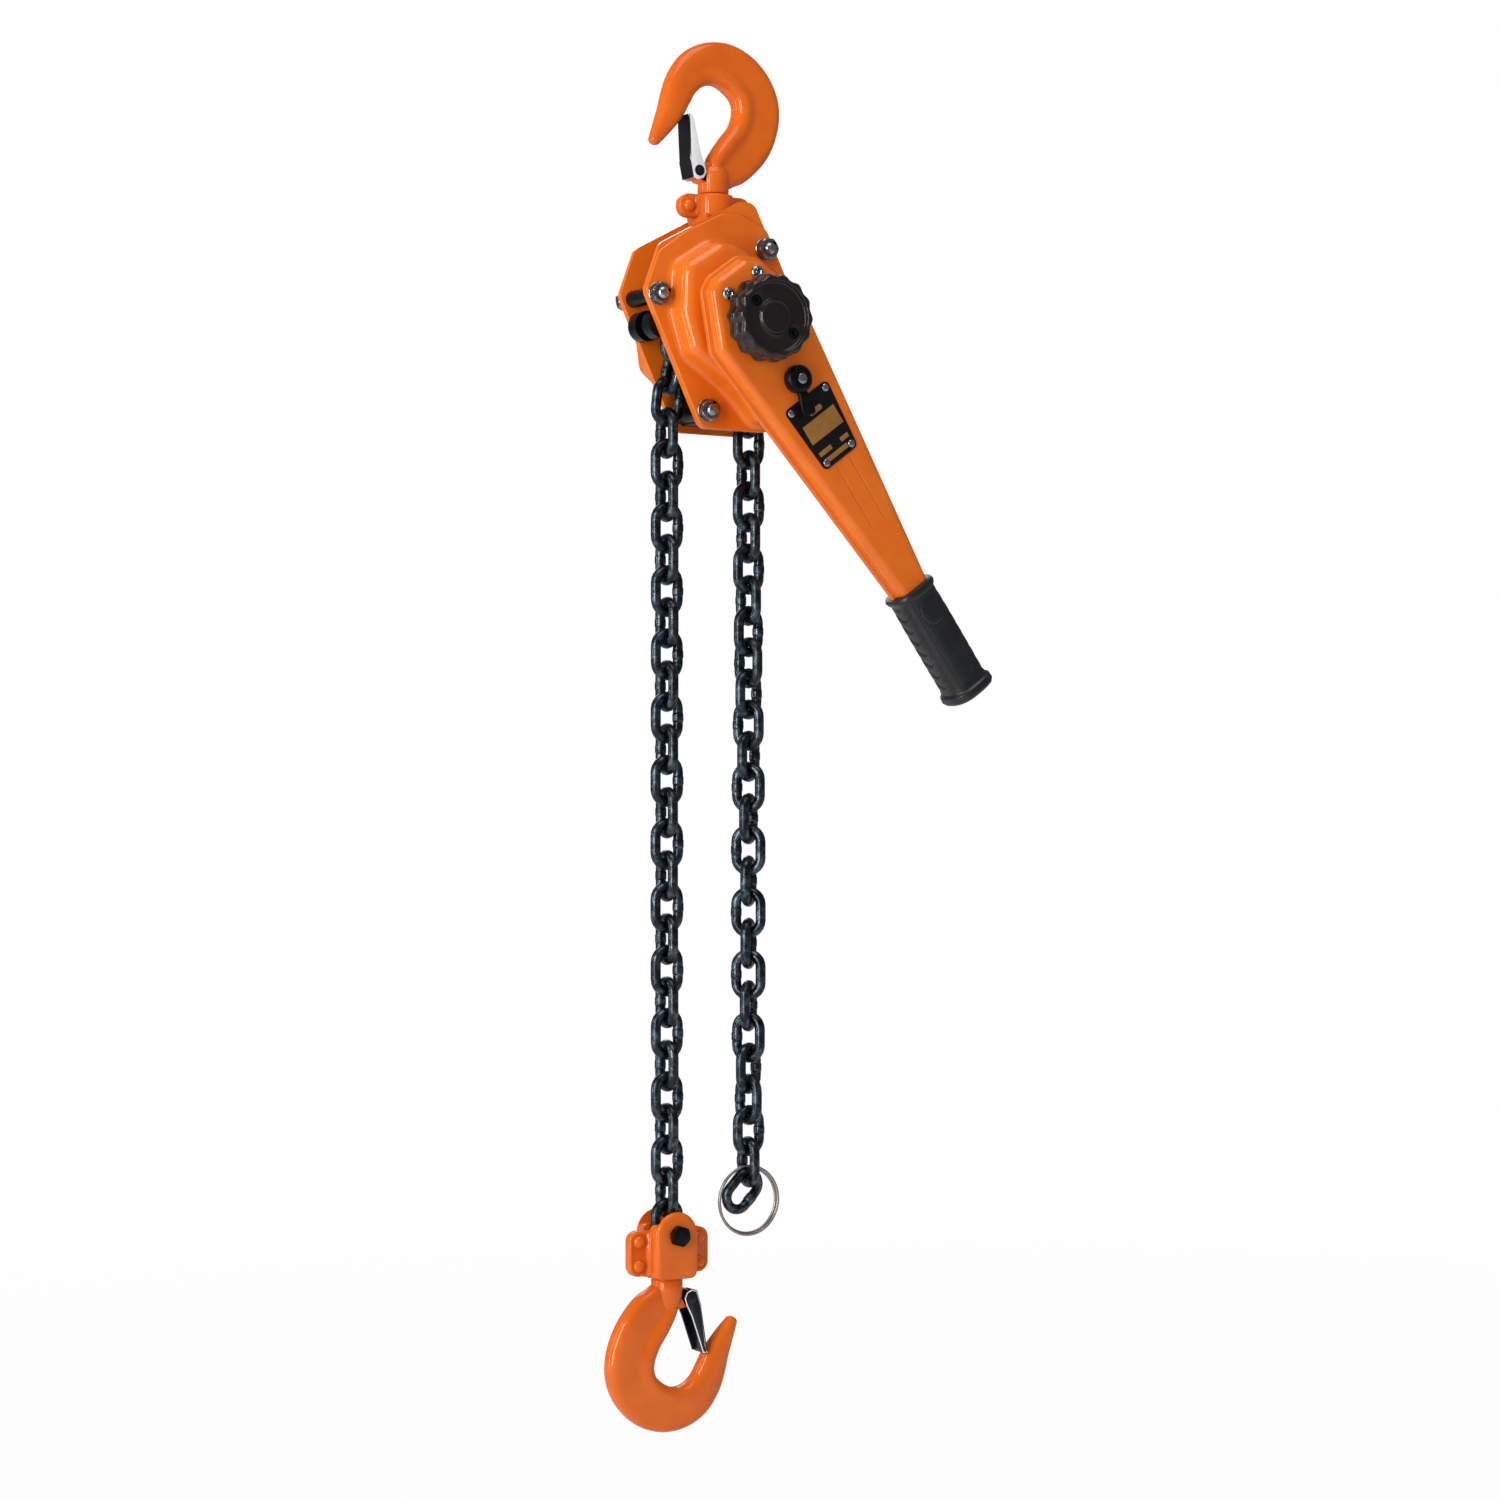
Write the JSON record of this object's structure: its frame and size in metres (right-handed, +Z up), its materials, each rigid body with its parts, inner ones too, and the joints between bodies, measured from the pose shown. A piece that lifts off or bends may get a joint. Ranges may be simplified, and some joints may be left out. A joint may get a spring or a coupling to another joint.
{
  "type": "lever chain hoist",
  "caption": "Lever-operated chain come-along with swivelling latch hooks, a housed load sheave, a ratchet lever with a rubber grip, a hand wheel and a free tail chain.",
  "frame": {"origin": "load saddle of the top hook, on the axis of its shank", "axes": "+Z up along the top hook's shank, -Y towards the lever and hand wheel (front), +X to the right as seen from the front"},
  "size_m": [0.3827, 0.1796, 1.3235],
  "materials": {
    "orange_paint": "glossy orange enamel over pressed and forged steel",
    "chain_steel": "blackened alloy steel",
    "black_steel": "black oxide steel",
    "zinc": "bright zinc plated steel",
    "nickel": "nickel plated spring steel",
    "bare_steel": "machined steel",
    "cast_iron": "hardened cast steel, oiled",
    "lining": "pressed friction lining",
    "bronze": "bearing bronze",
    "grip_rubber": "black moulded rubber",
    "knob_enamel": "glossy dark brown enamel on cast iron",
    "plate_black": "black printed aluminium"
  },
  "bodies": {
    "top_hook": {"top_hook": "orange_paint", "top_latch_pin": "zinc"},
    "top_latch": {"top_latch": "zinc"},
    "yoke": {"yoke_front": "orange_paint", "yoke_rear": "orange_paint", "yoke_rivets": "black_steel"},
    "frame": {"suspension_pin": "bare_steel", "side_plate_front": "orange_paint", "side_plate_rear": "orange_paint", "stay_bolts": "zinc", "stay_nuts_front": "zinc", "stay_nuts_rear": "zinc", "brake_cover": "orange_paint", "gear_cover": "orange_paint", "sheave_bearing_front": "bronze", "sheave_bearing_rear": "bronze", "gear_bearing_plate": "bare_steel", "pawl_pins": "bare_steel", "roller_pins": "bare_steel", "chain_stripper": "black_steel", "ratchet_wheel": "cast_iron"},
    "guide_roller_left": {"guide_roller_left": "black_steel"},
    "guide_roller_right": {"guide_roller_right": "black_steel"},
    "sheave": {"load_sheave": "cast_iron", "wrapped_chain": "chain_steel", "load_gear": "cast_iron"},
    "idler_upper": {"idler_gear_upper": "cast_iron"},
    "idler_lower": {"idler_gear_lower": "cast_iron"},
    "pinion": {"pinion_shaft": "bare_steel", "brake_hub": "bare_steel", "friction_disc_inner": "lining", "friction_disc_outer": "lining", "feed_gear": "bare_steel"},
    "pawl_upper": {"pawl_upper": "cast_iron"},
    "pawl_lower": {"pawl_lower": "cast_iron"},
    "lever": {"lever_rear_shell": "orange_paint", "lever_front_shell": "orange_paint", "lever_screws": "zinc", "grip": "grip_rubber", "name_plate": "plate_black", "name_plate_rivets": "zinc"},
    "selector": {"selector_lever": "black_steel", "selector_pin": "zinc"},
    "hand_wheel": {"hand_wheel": "knob_enamel", "hand_wheel_screws": "zinc"},
    "load_lead": {"load_chain_upper": "chain_steel"},
    "load_fall": {"load_chain": "chain_steel"},
    "block": {"block_front": "orange_paint", "block_rear": "orange_paint", "block_rivets": "black_steel", "chain_bolt": "black_steel", "chain_bolt_nut": "black_steel"},
    "bottom_hook": {"bottom_hook": "orange_paint", "bottom_latch_pin": "zinc"},
    "bottom_latch": {"bottom_latch": "zinc"},
    "tail_lead": {"tail_chain_upper": "chain_steel"},
    "tail_fall": {"tail_chain": "chain_steel"},
    "tail_end_link": {"tail_end_link": "chain_steel"},
    "split_ring": {"split_ring": "nickel"}
  },
  "joints": [
    {"name": "top_latch_hinge", "type": "hinge", "parent": "top_hook", "child": "top_latch", "pos_m": [-0.021, 0, -0.084], "axis": [0, 1, 0], "range_deg": [0, 25], "stiffness_Nm_per_rad": 0.1, "springref_deg": -14.32},
    {"name": "yoke_swivel", "type": "hinge", "parent": "top_hook", "child": "yoke", "pos_m": [0, 0, -0.1], "axis": [0, 0, 1], "continuous": true},
    {"name": "suspension_hinge", "type": "hinge", "parent": "yoke", "child": "frame", "pos_m": [0, 0, -0.15], "axis": [0, 1, 0], "range_deg": [-20, 20]},
    {"name": "guide_roller_left_spin", "type": "hinge", "parent": "frame", "child": "guide_roller_left", "pos_m": [-0.067, 0, -0.233], "axis": [0, 1, 0], "continuous": true},
    {"name": "guide_roller_right_spin", "type": "hinge", "parent": "frame", "child": "guide_roller_right", "pos_m": [0.06684, 0, -0.23767], "axis": [0, 1, 0], "continuous": true},
    {"name": "sheave_spin", "type": "hinge", "parent": "frame", "child": "sheave", "pos_m": [0, 0, -0.233], "axis": [0, 1, 0], "range_deg": [-6, 6]},
    {"name": "idler_upper_spin", "type": "hinge", "parent": "frame", "child": "idler_upper", "pos_m": [-0.01606, 0, -0.19856], "axis": [0, 1, 0], "range_deg": [-18, 18]},
    {"name": "idler_lower_spin", "type": "hinge", "parent": "frame", "child": "idler_lower", "pos_m": [0.01606, 0, -0.26744], "axis": [0, 1, 0], "range_deg": [-18, 18]},
    {"name": "pinion_spin", "type": "hinge", "parent": "frame", "child": "pinion", "pos_m": [0, 0, -0.233], "axis": [0, 1, 0], "range_deg": [-54, 54]},
    {"name": "pawl_upper_hinge", "type": "hinge", "parent": "frame", "child": "pawl_upper", "pos_m": [-0.01069, -0.038, -0.17803], "axis": [0, -1, 0], "range_deg": [0, 12], "stiffness_Nm_per_rad": 0.02, "springref_deg": -22.92},
    {"name": "pawl_lower_hinge", "type": "hinge", "parent": "frame", "child": "pawl_lower", "pos_m": [0.04096, -0.038, -0.27119], "axis": [0, -1, 0], "range_deg": [0, 12], "stiffness_Nm_per_rad": 0.02, "springref_deg": -22.92},
    {"name": "lever_swing", "type": "hinge", "parent": "frame", "child": "lever", "pos_m": [0, -0.0725, -0.233], "axis": [0, 1, 0], "continuous": true},
    {"name": "selector_turn", "type": "hinge", "parent": "lever", "child": "selector", "pos_m": [0.03833, -0.09, -0.28673], "axis": [0, 1, 0], "range_deg": [-40, 0]},
    {"name": "hand_wheel_pull", "type": "slide", "parent": "pinion", "child": "hand_wheel", "axis": [0, -1, 0], "range_m": [0, 0.006]},
    {"name": "load_chain_feed", "type": "slide", "parent": "frame", "child": "load_lead", "axis": [0, 0, 1], "range_m": [-0.0044, 0.0044]},
    {"name": "load_chain_swing", "type": "hinge", "parent": "load_lead", "child": "load_fall", "pos_m": [-0.05072, 0, -0.35412], "axis": [0, 1, 0], "range_deg": [-0.5, 15]},
    {"name": "block_hinge", "type": "hinge", "parent": "load_fall", "child": "block", "pos_m": [-0.05072, 0, -1.09307], "axis": [0, 1, 0], "range_deg": [-7, 7]},
    {"name": "bottom_hook_swivel", "type": "hinge", "parent": "block", "child": "bottom_hook", "pos_m": [-0.05072, 0, -1.12957], "axis": [0, 0, 1], "continuous": true},
    {"name": "bottom_latch_hinge", "type": "hinge", "parent": "bottom_hook", "child": "bottom_latch", "pos_m": [-0.02971, 0, -1.15557], "axis": [0, 1, 0], "range_deg": [0, 25], "stiffness_Nm_per_rad": 0.1, "springref_deg": -14.32},
    {"name": "tail_chain_feed", "type": "slide", "parent": "frame", "child": "tail_lead", "axis": [0, 0, 1], "range_m": [-0.0044, 0.0044]},
    {"name": "tail_chain_swing", "type": "hinge", "parent": "tail_lead", "child": "tail_fall", "pos_m": [0.03952, 0, -0.33093], "axis": [0, 1, 0], "range_deg": [-15, 0.5]},
    {"name": "tail_end_hinge", "type": "hinge", "parent": "tail_fall", "child": "tail_end_link", "pos_m": [0.03952, 0, -1.05093], "axis": [0, 1, 0], "range_deg": [-58, 0]},
    {"name": "split_ring_hinge", "type": "hinge", "parent": "tail_end_link", "child": "split_ring", "pos_m": [0.03952, 0, -1.0339], "axis": [1, 0, 0], "range_deg": [-20, 14]}
  ],
  "couplings": [
    {"joint": "idler_upper_spin", "follows": "sheave_spin", "ratio": -3},
    {"joint": "idler_lower_spin", "follows": "sheave_spin", "ratio": -3},
    {"joint": "pinion_spin", "follows": "sheave_spin", "ratio": 9},
    {"joint": "load_chain_feed", "follows": "sheave_spin", "m_per_rad": 0.039569},
    {"joint": "tail_chain_feed", "follows": "sheave_spin", "m_per_rad": -0.039569}
  ]
}
